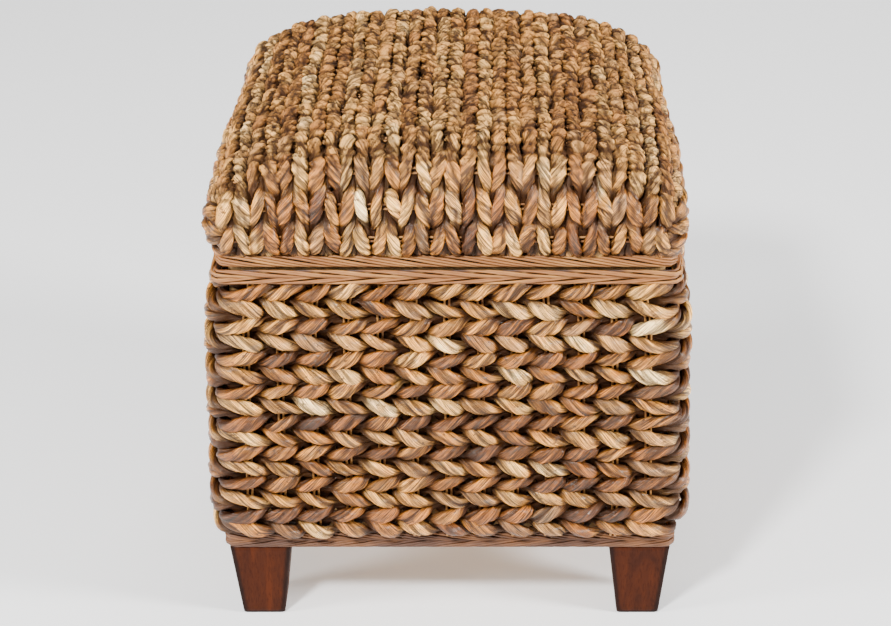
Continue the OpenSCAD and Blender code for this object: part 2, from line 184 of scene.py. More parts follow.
# Half the side of the studio floor, in metres, so that its edge stays out of sight
FLOOR_HALF = 40.0


# ---------------------------------------------------------------- small maths

def smooth(x, low, high):
    """0 below low, 1 above high, and an even curve between."""
    t = np.clip((x - low) / (high - low), 0, 1)
    return t * t * (3 - 2 * t)


def unit(vectors):
    return vectors / np.maximum(np.linalg.norm(vectors, axis=-1, keepdims=True), 1e-12)


class Path:
    """A line on a surface: points with the surface's outward normal, read by distance along it."""

    def __init__(self, points, normals, closed=False):
        if closed:
            points = np.vstack([points, points[:1]])
            normals = np.vstack([normals, normals[:1]])
        steps = np.linalg.norm(np.diff(points, axis=0), axis=1)
        self.at = np.concatenate([[0], np.cumsum(steps)])
        self.points, self.normals, self.closed = points, normals, closed
        self.length = self.at[-1]

    def read(self, s):
        if self.closed:
            s = np.mod(s, self.length)
        point = np.stack([np.interp(s, self.at, self.points[:, i]) for i in range(3)], axis=1)
        normal = np.stack([np.interp(s, self.at, self.normals[:, i]) for i in range(3)], axis=1)
        return point, unit(normal)


def rounded_rectangle(half_x, half_y, radius, z, spacing=1.0 * MM):
    """A closed level path round the object, anticlockwise from the middle of the back."""
    corner_steps = 24
    ax, ay = half_x - radius, half_y - radius
    corners = [(-ax, ay, 90), (-ax, -ay, 180), (ax, -ay, 270), (ax, ay, 0)]
    points, normals = [], []

    def line(start, end, normal):
        count = max(2, int(math.dist(start, end) / spacing))
        for t in np.linspace(0, 1, count, endpoint=False):
            points.append([start[0] + (end[0] - start[0]) * t,
                           start[1] + (end[1] - start[1]) * t, z])
            normals.append([normal[0], normal[1], 0])

    previous = (0, half_y)
    for cx, cy, start_angle in corners:
        first = math.radians(start_angle)
        begin = (cx + radius * math.cos(first), cy + radius * math.sin(first))
        line(previous, begin, (math.cos(first), math.sin(first)))
        for angle in np.linspace(first, first + math.pi / 2, corner_steps, endpoint=False):
            points.append([cx + radius * math.cos(angle), cy + radius * math.sin(angle), z])
            normals.append([math.cos(angle), math.sin(angle), 0])
        last = first + math.pi / 2
        previous = (cx + radius * math.cos(last), cy + radius * math.sin(last))
    line(previous, (0, half_y), (0, 1))
    return Path(np.array(points), np.array(normals), closed=True)


def side_positions(half_x, half_y, radius):
    """Distances along rounded_rectangle of the stakes: back, left, front, right, back."""
    ax, ay = half_x - radius, half_y - radius
    turn = radius * math.pi / 2
    wide = (np.arange(STAKES_WIDE) - (STAKES_WIDE - 1) / 2) * 2 * ax / STAKES_WIDE
    deep = (np.arange(STAKES_DEEP) - (STAKES_DEEP - 1) / 2) * 2 * ay / STAKES_DEEP
    left = ax + turn + ay
    front = left + ay + turn + ax
    right = front + ax + turn + ay
    back = right + ay + turn + ax
    return np.concatenate([wide[wide >= 0], left + deep, front + wide, right + deep, back + wide[wide < 0]])


# ---------------------------------------------------------------- meshes made of tubes

class Tubes:
    """Collects tubes, then makes one mesh of them with its UVs and its colour attribute."""

    def __init__(self):
        self.points, self.uvs, self.colours = [], [], []
        self.loops, self.starts = [], []
        self.vertex_count = self.loop_count = 0

    def add(self, rings, along, colours, closed=False, twist=0.0):
        """rings is [n, around, 3]; along gives each ring's place in metres; colours is [n, around, 4].

        The UVs run along the tube, and turn about it by twist radians a metre.
        """
        n, k = rings.shape[:2]
        last = n if closed else n - 1
        i, j = np.meshgrid(np.arange(last), np.arange(k), indexing="ij")
        i2, j2 = (i + 1) % n, (j + 1) % k
        quads = np.stack([i * k + j, i2 * k + j, i2 * k + j2, i * k + j2], axis=-1).reshape(-1, 4)
        gap = along[-1] - along[-2]
        ends = np.append(along, along[-1] + gap)
        u = np.stack([ends[i], ends[i + 1], ends[i + 1], ends[i]], axis=-1).reshape(-1)
        v = (np.stack([j, j, j + 1, j + 1], axis=-1) / k).reshape(-1) - twist * u / (2 * math.pi)
        self.loops.append(quads.reshape(-1) + self.vertex_count)
        self.starts.append(np.arange(0, quads.size, 4) + self.loop_count)
        self.uvs.append(np.stack([u, v], axis=-1))
        self.loop_count += quads.size
        if not closed:
            for ring, order in ((0, np.arange(k)), (n - 1, np.arange(k)[::-1])):
                self.loops.append(ring * k + order + self.vertex_count)
                self.starts.append(np.array([self.loop_count]))
                self.uvs.append(np.stack([np.full(k, along[ring]), order / k], axis=-1))
                self.loop_count += k
        self.points.append(rings.reshape(-1, 3))
        self.colours.append(colours.reshape(-1, 4))
        self.vertex_count += n * k

    def build(self, name, material):
        mesh = bpy.data.meshes.new(name)
        points = np.concatenate(self.points)
        loops = np.concatenate(self.loops).astype(np.int32)
        starts = np.concatenate(self.starts).astype(np.int32)
        mesh.vertices.add(len(points))
        mesh.vertices.foreach_set("co", points.astype(np.float32).ravel())
        mesh.loops.add(len(loops))
        mesh.loops.foreach_set("vertex_index", loops)
        mesh.polygons.add(len(starts))
        mesh.polygons.foreach_set("loop_start", starts)
        mesh.polygons.foreach_set("use_smooth", np.ones(len(starts), bool))
        mesh.update(calc_edges=True)
        uv = mesh.uv_layers.new(name="UVMap")
        uv.data.foreach_set("uv", np.concatenate(self.uvs).astype(np.float32).ravel())
        tint = mesh.color_attributes.new("strand", "FLOAT_COLOR", "POINT")
        tint.data.foreach_set("color", np.concatenate(self.colours).astype(np.float32).ravel())
        mesh.materials.append(material)
        piece = bpy.data.objects.new(name, mesh)
        bpy.context.scene.collection.objects.link(piece)
        return piece


def sweep(centres, normals, width, thick, shape):
    """Rings round a centre line: width lies along the surface, thick stands out of it."""
    tangents = unit(np.gradient(centres, axis=0))
    across = unit(np.cross(tangents, normals))
    out = np.cross(across, tangents)
    angles = np.linspace(0, 2 * math.pi, shape.shape[1], endpoint=False)
    flat = (np.cos(angles)[None] * shape * width[:, None])[..., None] * across[:, None]
    tall = (np.sin(angles)[None] * shape * thick[:, None])[..., None] * out[:, None]
    return centres[:, None] + flat + tall


def leaf_folds(rng, along, twist, length):
    """Radius of a strand round its section, and how deep in a crease each point lies."""
    angles = np.linspace(0, 2 * math.pi, AROUND, endpoint=False)[None]
    crease = np.zeros((len(along), AROUND))
    for _ in range(LEAF_CREASES):
        waves = rng.integers(9, 30) * 2 * math.pi / length
        line = rng.uniform(*ANY_PHASE) + twist * along + 0.6 * np.sin(waves * along + rng.uniform(*ANY_PHASE))
        away = np.abs(np.angle(np.exp(1j * (angles - line[:, None]))))
        crease += rng.uniform(0.35, 1.0) * np.clip(1 - away / rng.uniform(0.3, 0.6), 0, 1)
    crease = np.clip(crease, 0, 1.2)
    lap = np.mod(angles - (twist * along + rng.uniform(*ANY_PHASE))[:, None], 2 * math.pi) / (2 * math.pi)
    return 1 + LAP_HEIGHT * lap - CREASE_DEPTH * crease, crease


class Rope:
    """How one rope is made: the size of its strands, and how far they swing."""

    def __init__(self, width, thick, swing_out, swing_side, pinch=0.5):
        self.width, self.thick = width, thick
        self.swing_out, self.swing_side = swing_out, swing_side
        self.pinch = pinch


def knuckles(rng, s, length):
    """Small uneven lumps along a strand, for where a rope is wound tight."""
    lumps = np.zeros(len(s))
    for wavelength in (7.5 * MM, 11 * MM, 17 * MM):
        waves = round(length / (wavelength * rng.uniform(0.9, 1.1)))
        lumps += np.sin(2 * math.pi * waves * s / length + rng.uniform(*ANY_PHASE)) / 3
    return lumps


def long_stroke(phase):
    """Climbs from -1 to 1 along the front of a turn and falls back more steeply behind it."""
    turn = np.mod(phase / math.pi + 1, 2) - 1
    ahead = turn / FRONT_SHARE
    behind = (np.sign(turn) - turn) / (1 - FRONT_SHARE)
    return np.where(np.abs(turn) < FRONT_SHARE, ahead, behind)


def roughness(rng, count):
    """Uneven grain over a strand, one value for each point of each ring."""
    grain = rng.normal(0, 1, (count, AROUND))
    grain = (grain + np.roll(grain, 1, axis=1) + np.roll(grain, -1, axis=1)) / 3
    return grain


def passes(phase, values):
    """A value for each pass over or under a stake, held along the pass and eased between passes."""
    place = phase / math.pi
    base = np.floor(place + 0.5).astype(int)
    t = smooth(place + 0.5 - base, 0.75, 1.0)
    n = len(values)
    return values[base % n] * (1 - t) + values[(base + 1) % n] * t


def rope_knots(path, stakes, closed):
    """Where the rope meets each stake, carried on past the outer ones, and the range it covers."""
    if closed:
        return np.append(stakes, stakes[0] + path.length), 0, len(stakes)
    gaps = np.diff(stakes)
    before = math.ceil(stakes[0] / gaps[0])
    after = math.ceil((path.length - stakes[-1]) / gaps[-1])
    knots = np.concatenate([stakes[0] - gaps[0] * np.arange(before, 0, -1), stakes,
                            stakes[-1] + gaps[-1] * np.arange(1, after + 1)])
    low, high = np.interp([0.0, path.length], knots, np.arange(len(knots)))
    return knots, low, high


def twist_rope(tubes, path, stakes, rope, lay, rng, tone, warmth=0.5, closed=False, detail=PER_STAKE):
    """Two strands that swap sides between stakes. Lay 1 rises along the path, -1 falls.

    Tone runs from 0, dark, to 1, pale; warmth from 0, greyish, to 1, orange. The colour attribute holds
    tint, hue, painted light and shade (how open to light the point is, darker in creases), and how flat the
    rope lies.
    """
    knots, low, high = rope_knots(path, stakes, closed)
    place = np.linspace(low, high, round((high - low) * detail), endpoint=not closed)
    s = np.interp(place, np.arange(len(knots)), knots)
    lobes = len(stakes) if closed else len(knots) + 3
    twist = lay * 2 * math.pi * round(LEAF_TWIST * path.length / (2 * math.pi)) / path.length
    turns = 2 * math.pi * s / path.length
    drift = DRIFT * np.sin(3 * turns + rng.uniform(*ANY_PHASE))
    drift = drift + DRIFT * np.sin(8 * turns + rng.uniform(*ANY_PHASE))
    for strand in (0, 1):
        phase = (place + strand) * math.pi
        girth = passes(phase, rng.uniform(*GIRTH, lobes))
        tall = passes(phase, rng.uniform(*TALLNESS, lobes))
        side = passes(phase, rng.normal(0, SIDE_SPREAD, lobes)) * MM
        slip = passes(phase, np.clip(rng.normal(0, SLIP_SPREAD, lobes), -SLIP_MOST, SLIP_MOST)) * MM
        lean = passes(phase, rng.uniform(*LEAN, lobes))
        tint = passes(phase, np.clip(tone + rng.normal(0, TINT_SPREAD, lobes), 0.08, 0.98))
        hue = passes(phase, np.clip(warmth + rng.normal(0, HUE_SPREAD, lobes), 0, 1))
        point, normal = path.read(s + slip)
        tangent = unit(np.gradient(path.read(s)[0], axis=0))
        across = unit(np.cross(normal, tangent))
        flat = smooth(normal[:, 2], FLAT_FROM, FLAT_FULLY)
        # Flat ropes on top of the lid are painted paler, as light falling on the top.
        tint = tint + ((tone - tint) * FLAT_EVEN_TINT + FLAT_PAINTED_LIGHT) * flat
        swing = np.cos(phase)
        front = np.sign(swing) * np.abs(swing) ** 0.8
        climb = long_stroke(phase)
        sideways = 0.6 * climb + 0.4 * np.sin(math.pi / 2 * climb)
        pinch = rope.pinch + (FLAT_PINCH - rope.pinch) * flat
        belly = pinch + (1 - pinch) * (1 - np.abs(climb) ** 2.2)
        centre = point + normal * (rope.swing_out * (1 - FLAT_LESS_OUT * flat) * front)[:, None]
        offset = lay * rope.swing_side * lean * (1 - FLAT_LESS_SIDE * flat) * sideways + side + drift
        centre = centre + across * offset[:, None]
        width = rope.width * girth * belly * (1 + FLAT_WIDER * flat)
        width = width * (1 + INNER_FULLNESS * (1 - flat) * smooth(-swing, 0.1, 0.8))
        thick = rope.thick * tall * (0.74 + 0.26 * np.abs(swing)) * (1 + FLAT_THICKER * flat)
        knobs = knuckles(rng, s, path.length)
        lumps = 1 + FLAT_LUMPS * flat * knobs
        width, thick = width * lumps, thick * lumps
        if not closed:
            taper = smooth(np.minimum(s - s[0], s[-1] - s), -1 * MM, 5 * MM)
            width, thick = width * (0.3 + 0.7 * taper), thick * (0.3 + 0.7 * taper)
        shape, crease = leaf_folds(rng, s, twist, path.length)
        shape = shape + FLAT_GRAIN * flat[:, None] * roughness(rng, len(s))
        rings = sweep(centre, normal, width, thick, shape)
        # Painted light and shade: the outer and inner faces of the weave are painted lit, points in the
        # middle of the wall painted shaded.
        depth = np.sum((rings - point[:, None]) * normal[:, None], axis=-1)
        reach = rope.swing_out + rope.thick
        shade = np.maximum(smooth(depth, -0.45 * rope.swing_out, 0.9 * reach),
                           smooth(-depth, 0.05 * rope.swing_out, 0.92 * reach))
        # Creases, and on top of the lid the hollows between lumps, are painted darker as shade.
        crease = crease + (FLAT_CREASE_SHADE * flat * smooth(-knobs, 0.15, 0.65))[:, None]
        colours = np.stack([np.broadcast_to(tint[:, None], shade.shape),
                            np.broadcast_to(hue[:, None], shade.shape),
                            shade * np.clip(1 - 0.5 * crease, 0, 1),
                            np.broadcast_to(flat[:, None], shade.shape)], axis=-1)
        tubes.add(rings, s + rng.uniform(*ANY_START), colours, closed=closed, twist=twist)


# ---------------------------------------------------------------- materials

def srgb(r, g, b):
    """A colour given as 0-255 sRGB, as the linear value that nodes take."""
    return tuple((c / 255 / 12.92) if c / 255 <= 0.04045 else ((c / 255 + 0.055) / 1.055) ** 2.4
                 for c in (r, g, b)) + (1.0,)


class Nodes:
    """Short helpers for a material's node tree."""

    def __init__(self, name):
        self.material = bpy.data.materials.new(name)
        self.material.use_nodes = True
        self.tree = self.material.node_tree
        self.shader = self.tree.nodes["Principled BSDF"]

    def new(self, kind, **settings):
        node = self.tree.nodes.new(kind)
        for key, value in settings.items():
            setattr(node, key, value)
        return node

    def link(self, source, target):
        self.tree.links.new(source, target)

    def value(self, target, source):
        if isinstance(source, (int, float, tuple)):
            target.default_value = source
        else:
            self.link(source, target)

    def math(self, operation, a, b=0.0, clamp=False):
        node = self.new("ShaderNodeMath", operation=operation, use_clamp=clamp)
        self.value(node.inputs[0], a)
        self.value(node.inputs[1], b)
        return node.outputs[0]

    def mix(self, factor, a, b, blend="MIX"):
        node = self.new("ShaderNodeMix", data_type="RGBA", blend_type=blend)
        self.value(node.inputs["Factor"], factor)
        self.value(node.inputs["A"], a)
        self.value(node.inputs["B"], b)
        return node.outputs["Result"]

    def ramp(self, factor, *stops):
        node = self.new("ShaderNodeValToRGB")
        ramp = node.color_ramp
        ramp.interpolation = "EASE"
        while len(ramp.elements) < len(stops):
            ramp.elements.new(0.5)
        for element, (position, colour) in zip(ramp.elements, stops):
            element.position = position
            element.color = colour if isinstance(colour, tuple) else (colour, colour, colour, 1)
        self.value(node.inputs["Fac"], factor)
        return node.outputs["Color"]

    def noise(self, vector, scale, detail=3.0, roughness=0.55, distortion=0.0):
        node = self.new("ShaderNodeTexNoise")
        node.inputs["Scale"].default_value = scale
        node.inputs["Detail"].default_value = detail
        node.inputs["Roughness"].default_value = roughness
        node.inputs["Distortion"].default_value = distortion
        self.link(vector, node.inputs["Vector"])
        return node.outputs["Fac"]

    def combine(self, x, y, z):
        node = self.new("ShaderNodeCombineXYZ")
        for target, source in zip(node.inputs, (x, y, z)):
            self.value(target, source)
        return node.outputs[0]

    def object_position(self, scale=(1.0, 1.0, 1.0)):
        coordinates = self.new("ShaderNodeTexCoord")
        mapping = self.new("ShaderNodeMapping")
        mapping.inputs["Scale"].default_value = scale
        self.link(coordinates.outputs["Object"], mapping.inputs["Vector"])
        return mapping.outputs[0]

    def bump(self, height, strength, distance, normal=None):
        node = self.new("ShaderNodeBump")
        node.inputs["Strength"].default_value = strength
        node.inputs["Distance"].default_value = distance
        self.link(height, node.inputs["Height"])
        if normal is not None:
            self.link(normal, node.inputs["Normal"])
        return node.outputs[0]


def fibre_vectors(nodes, across, along):
    """Coordinates that follow a strand's fibres, with no seam round it."""
    uv = nodes.new("ShaderNodeUVMap", uv_map="UVMap")
    parts = nodes.new("ShaderNodeSeparateXYZ")
    nodes.link(uv.outputs[0], parts.inputs[0])
    turn = nodes.math("MULTIPLY", parts.outputs["Y"], 2 * math.pi)
    return nodes.combine(nodes.math("MULTIPLY", nodes.math("COSINE", turn), across),
                         nodes.math("MULTIPLY", nodes.math("SINE", turn), across),
                         nodes.math("MULTIPLY", parts.outputs["X"], along))


def leaf_material():
    """Dried, twisted leaf: straw to orange-brown strands, fine fibres and a waxy gloss, with painted light
    and shade in the colour.
    """
    nodes = Nodes("leaf_rope")
    strand = nodes.new("ShaderNodeVertexColor", layer_name="strand")
    parts = nodes.new("ShaderNodeSeparateColor")
    nodes.link(strand.outputs["Color"], parts.inputs[0])
    tone, hue, shade = parts.outputs[0], parts.outputs[1], parts.outputs[2]
    worn = strand.outputs["Alpha"]
    fibres = nodes.noise(fibre_vectors(nodes, 6.6, 40.0), 1.6, 4.0, 0.62, 0.3)
    folds = nodes.noise(fibre_vectors(nodes, 2.0, 20.0), 1.3, 3.0, 0.55, 0.6)
    patches = nodes.noise(nodes.object_position(), 60.0, 3.0, 0.6)
    mottled = nodes.math("ADD", tone, nodes.math("MULTIPLY", nodes.math("SUBTRACT", patches, 0.5), 0.7),
                         clamp=True)
    base = nodes.ramp(mottled,
                      (0.0, srgb(62, 30, 8)), (0.2, srgb(106, 57, 14)), (0.4, srgb(148, 89, 26)),
                      (0.6, srgb(186, 124, 48)), (0.8, srgb(216, 160, 82)), (1.0, srgb(240, 199, 132)))
    warm = nodes.mix(nodes.math("MULTIPLY", nodes.ramp(hue, (0.6, 0.0), (0.95, 1.0)), 0.5),
                     base, srgb(154, 88, 22))
    grey = nodes.mix(nodes.math("MULTIPLY", nodes.ramp(hue, (0.05, 1.0), (0.35, 0.0)), 0.4),
                     warm, srgb(166, 127, 80))
    dull = nodes.mix(nodes.math("MULTIPLY", worn, 0.3), grey, srgb(122, 92, 64))
    # Fibre streaks are the leaf's grain; their palest ridges, up to twice as bright, are painted highlight.
    streaks = nodes.ramp(fibres, (0.38, 0.2), (0.46, 0.5), (0.54, 1.05), (0.66, 2.1))
    fresh = nodes.math("SUBTRACT", 1.0, nodes.math("MULTIPLY", worn, 0.55))
    lined = nodes.mix(fresh, dull, streaks, "MULTIPLY")
    # Darker in the folds: painted shade.
    fold_painted_shade = nodes.mix(1.0, lined, nodes.ramp(folds, (0.36, 0.2), (0.5, 1.0)), "MULTIPLY")
    # Dark flecks, more on top of the lid: painted shade of small holes and crevices.
    spots = nodes.noise(nodes.object_position(), 190.0, 2.0, 0.6)
    marks = nodes.math("ADD", spots, nodes.math("MULTIPLY", worn, 0.07))
    painted_crevice_flecks = nodes.mix(nodes.ramp(marks, (0.63, 0.0), (0.71, 0.75)), fold_painted_shade, srgb(44, 24, 12))
    # Painted light and shade: crests painted brighter, up to 1.6 times, and flanks darker.
    painted_light_and_shade = nodes.mix(1.0, painted_crevice_flecks, nodes.ramp(shade, (0.3, 0.6), (0.7, 0.95), (1.0, 1.6)), "MULTIPLY")
    # Painted shade: a dark brown laid over points deep in the weave.
    deep = nodes.mix(nodes.ramp(shade, (0.0, 0.95), (0.35, 0.82), (0.68, 0.4), (0.95, 0.0)),
                     painted_light_and_shade, srgb(46, 19, 4))
    nodes.link(deep, nodes.shader.inputs["Base Color"])
    rough = nodes.math("ADD", nodes.ramp(fibres, (0.3, 0.6), (0.7, 0.34)),
                       nodes.math("MULTIPLY", worn, 0.25))
    nodes.link(rough, nodes.shader.inputs["Roughness"])
    # The coat follows the painted shade too, so gaps in the weave lose their gloss.
    waxy = nodes.math("SUBTRACT", 0.55, nodes.math("MULTIPLY", worn, 0.45))
    nodes.link(nodes.math("MULTIPLY", waxy, shade), nodes.shader.inputs["Coat Weight"])
    nodes.shader.inputs["Specular IOR Level"].default_value = 0.26
    nodes.shader.inputs["Specular Tint"].default_value = (1.0, 0.86, 0.66, 1.0)
    nodes.shader.inputs["Coat Roughness"].default_value = 0.15
    frayed = nodes.math("MULTIPLY", nodes.noise(nodes.object_position(), 240.0, 3.0, 0.65), worn)
    first = nodes.bump(folds, 0.7, 1.6 * MM)
    second = nodes.bump(fibres, 0.9, 0.8 * MM, first)
    surface = nodes.bump(frayed, 1.0, 3.0 * MM, second)
    nodes.link(surface, nodes.shader.inputs["Normal"])
    nodes.link(surface, nodes.shader.inputs["Coat Normal"])
    return nodes.material


def rattan_material():
    """Rattan core: tan to brown rods with fine lengthwise pores, and painted shade on rods that lie further
    in.
    """
    nodes = Nodes("rattan")
    strand = nodes.new("ShaderNodeVertexColor", layer_name="strand")
    parts = nodes.new("ShaderNodeSeparateColor")
    nodes.link(strand.outputs["Color"], parts.inputs[0])
    fibres = nodes.noise(fibre_vectors(nodes, 2.4, 60.0), 1.8, 4.0, 0.6)
    patches = nodes.noise(nodes.object_position(), 30.0, 3.0, 0.6)
    mottled = nodes.math("ADD", parts.outputs[0],
                         nodes.math("MULTIPLY", nodes.math("SUBTRACT", patches, 0.5), 0.5), clamp=True)
    base = nodes.ramp(mottled, (0.0, srgb(76, 42, 18)), (0.45, srgb(136, 84, 38)), (1.0, srgb(186, 130, 66)))
    lined = nodes.mix(1.0, base, nodes.ramp(fibres, (0.3, 0.66), (0.55, 1.05)), "MULTIPLY")
    # Painted shade: rods that wind further in are laid over with dark brown.
    deep = nodes.mix(nodes.ramp(parts.outputs[2], (0.0, 1.0), (0.6, 0.0)), lined, srgb(52, 30, 20))
    nodes.link(deep, nodes.shader.inputs["Base Color"])
    nodes.link(nodes.ramp(fibres, (0.3, 0.62), (0.7, 0.44)), nodes.shader.inputs["Roughness"])
    nodes.link(nodes.bump(fibres, 0.5, 0.3 * MM), nodes.shader.inputs["Normal"])
    return nodes.material


def wood_material(name, shades, scale, roughness, coat, axis_scale, edge_layer=None):
    """Wood with growth bands stretched along the grain, pores, and a satin or bare finish."""
    dark, mid, light = shades
    nodes = Nodes(name)
    place = nodes.object_position(axis_scale)
    bands = nodes.noise(place, scale, 4.0, 0.6, 1.4)
    pores = nodes.noise(place, scale * 9, 3.0, 0.7)
    base = nodes.ramp(bands, (0.28, dark), (0.5, mid), (0.74, light))
    lined = nodes.mix(1.0, base, nodes.ramp(pores, (0.34, 0.7), (0.52, 1.0)), "MULTIPLY")
    # Painted shade: darker where the edge layer marks eased edges and the foot.
    if edge_layer:
        edge = nodes.new("ShaderNodeVertexColor", layer_name=edge_layer)
        shadow = nodes.ramp(edge.outputs["Color"], (0.2, 1.0), (1.0, 0.3))
        lined = nodes.mix(1.0, lined, shadow, "MULTIPLY")
    nodes.link(lined, nodes.shader.inputs["Base Color"])
    nodes.link(nodes.ramp(pores, (0.3, roughness + 0.14), (0.7, roughness)), nodes.shader.inputs["Roughness"])
    nodes.shader.inputs["Specular IOR Level"].default_value = 0.08
    nodes.shader.inputs["Coat Weight"].default_value = coat
    nodes.shader.inputs["Coat Roughness"].default_value = 0.2
    nodes.link(nodes.bump(pores, 0.25, 0.3 * MM), nodes.shader.inputs["Normal"])
    return nodes.material


def steel_material():
    """Zinc-plated steel with brushed streaks and dulled patches."""
    nodes = Nodes("steel")
    streaks = nodes.noise(nodes.object_position((1.0, 14.0, 14.0)), 220.0, 3.0, 0.6)
    patches = nodes.noise(nodes.object_position(), 90.0, 3.0, 0.6)
    base = nodes.ramp(patches, (0.3, srgb(128, 124, 116)), (0.7, srgb(176, 172, 164)))
    nodes.link(base, nodes.shader.inputs["Base Color"])
    nodes.shader.inputs["Metallic"].default_value = 1.0
    nodes.link(nodes.ramp(streaks, (0.3, 0.5), (0.7, 0.32)), nodes.shader.inputs["Roughness"])
    nodes.link(nodes.bump(streaks, 0.2, 0.1 * MM), nodes.shader.inputs["Normal"])
    return nodes.material


LEAF = leaf_material()
RATTAN = rattan_material()
STAINED = (srgb(46, 15, 1), srgb(58, 21, 1), srgb(70, 27, 2))
PALE = (srgb(150, 112, 70), srgb(186, 146, 98), srgb(208, 172, 124))
PLY = (srgb(160, 122, 80), srgb(192, 152, 104), srgb(212, 176, 130))
LEG_WOOD = wood_material("leg_wood", STAINED, scale=14.0, roughness=0.5, coat=0.05,
                         axis_scale=(4.0, 4.0, 0.8), edge_layer="edge")
RAIL_WOOD = wood_material("rail_wood", PALE, scale=20.0, roughness=0.55, coat=0.0,
                          axis_scale=(1.0, 1.0, 5.0))
POST_WOOD = wood_material("post_wood", PALE, scale=20.0, roughness=0.55, coat=0.0,
                          axis_scale=(5.0, 5.0, 0.6))
PLYWOOD = wood_material("plywood", PLY, scale=14.0, roughness=0.6, coat=0.0,
                        axis_scale=(0.8, 5.0, 5.0))
STEEL = steel_material()


# ---------------------------------------------------------------- body: ropes, stakes and braids

def body_offset(z):
    """How far the weave stands out from the CAD wall: it flares downwards, and tucks in at both ends."""
    share = (ROWS_HIGH - z) / (ROWS_HIGH - ROWS_LOW)
    tuck = TOP_TUCK * smooth(z, ROWS_HIGH - TOP_TUCK_HEIGHT, ROWS_HIGH)
    tuck += FOOT_TUCK * (1 - smooth(z, ROWS_LOW, ROWS_LOW + FOOT_TUCK_HEIGHT))
    return TOP_OFFSET + FLARE * share - tuck


def body_outline(z):
    """Half width, half depth and corner radius of the line that the ropes follow at a height."""
    out = body_offset(z) - WALL_HALF
    return BODY_HALF_X + out, BODY_HALF_Y + out, CORNER_R - WALL_HALF


def make_body_rows():
    rope = Rope(width=6.6 * MM, thick=5.3 * MM, swing_out=6.7 * MM, swing_side=6.4 * MM, pinch=0.42)
    pitch = (ROWS_HIGH - ROWS_LOW) / ROW_COUNT
    for row in range(ROW_COUNT):
        rng = np.random.default_rng(100 + row)
        z = ROWS_LOW + (row + 0.5) * pitch
        shape = body_outline(z)
        path = rounded_rectangle(*shape, z)
        rising = (ROW_COUNT - row) % 2 == 1
        tone, warmth = RISING_LOOK if rising else FALLING_LOOK
        # The climb in tone is painted light: lower rows darker, upper rows paler.
        tone = tone + PAINTED_LIGHT_CLIMB * row / ROW_COUNT - TONE_DROP + rng.normal(0, ROW_TONE_SPREAD)
        tubes = Tubes()
        twist_rope(tubes, path, side_positions(*shape), rope, 1 if rising else -1, rng, tone, warmth,
                   closed=True)
        piece = tubes.build(f"body_rope_row_{row + 1:02d}", LEAF)
        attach(piece, "body")
        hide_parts("woven_front", "woven_back", "woven_left", "woven_right")


def stake_rod(tubes, points, normals, tone, rng):
    count = len(points)
    colours = np.empty((count, ROD_AROUND, 4))
    colours[:] = (tone, rng.uniform(), 1.0, rng.uniform())
    along = np.concatenate([[0], np.cumsum(np.linalg.norm(np.diff(points, axis=0), axis=1))])
    size = np.full(count, STAKE_R)
    rings = sweep(points, normals, size, size, np.ones((count, ROD_AROUND)))
    tubes.add(rings, along + rng.uniform(*ANY_START), colours)


def make_stakes():
    """The pairs of thin upright rods that the body's ropes are worked round."""
    heights = np.linspace(ROWS_LOW - STAKE_OVERRUN, ROWS_HIGH + STAKE_OVERRUN, 24)
    for index, (name, count, turn) in enumerate((("front", STAKES_WIDE, 0), ("right", STAKES_DEEP, 90),
                                                 ("back", STAKES_WIDE, 180), ("left", STAKES_DEEP, 270))):
        rng = np.random.default_rng(300 + index)
        c, s = math.cos(math.radians(turn)), math.sin(math.radians(turn))
        tubes = Tubes()
        for i in range(count):
            for pair in (-0.5, 0.5):
                points = []
                for z in heights:
                    half_x, half_y, radius = body_outline(z)
                    across, reach = (half_x, half_y) if turn % 180 == 0 else (half_y, half_x)
                    x = (i - (count - 1) / 2) * 2 * (across - radius) / count + pair * STAKE_PAIR
                    points.append([x * c + reach * s, x * s - reach * c, z])
                normals = np.tile([s, -c, 0.0], (len(heights), 1))
                stake_rod(tubes, np.array(points), normals, rng.uniform(0.6, 0.95), rng)
        piece = tubes.build(f"stake_rods_{name}", RATTAN)
        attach(piece, "body")
        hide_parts(f"stakes_{name}")


def braid_course(tubes, half_x, half_y, z, tall, lay, rods, rng, tone):
    """One course of a braid: its strands wind round one another, an equal part of a turn apart."""
    path = rounded_rectangle(half_x, half_y, BRAID_CORNER_R, z)
    turns = round(path.length / (BRAID_STRANDS * BRAID_STROKE))
    steps = turns * BRAID_STRANDS * BRAID_RINGS
    s = np.arange(steps) * path.length / steps
    point, normal = path.read(s)
    size = np.full(steps, BRAID_ROD_R)
    for strand in range(BRAID_STRANDS):
        strand_tone = tone + rng.uniform(-BRAID_TONE_SPREAD, BRAID_TONE_SPREAD)
        for k in range(rods):
            phase = 2 * math.pi * (s / path.length * turns + strand / BRAID_STRANDS)
            phase = phase + (k - (rods - 1) / 2) * BRAID_ROD_LAG
            rise = lay * (tall / 2 - BRAID_ROD_R) * np.sin(phase)
            out = BRAID_SWING * np.cos(phase)
            centre = point + normal * out[:, None] + UP * rise[:, None]
            # Rods that wind further in get a low shade value, which the material paints as shade.
            shade = smooth(out, -2.4 * MM, 1.2 * MM)
            colours = np.empty((steps, ROD_AROUND, 4))
            colours[..., 0] = strand_tone + rng.uniform(-BRAID_ROD_TONE_SPREAD, BRAID_ROD_TONE_SPREAD)
            colours[..., 1] = rng.uniform()
            colours[..., 2] = shade[:, None]
            colours[..., 3] = rng.uniform()
            rings = sweep(centre, normal, size, size, np.ones((steps, ROD_AROUND)))
            tubes.add(rings, s + rng.uniform(*ANY_START), colours, closed=True)


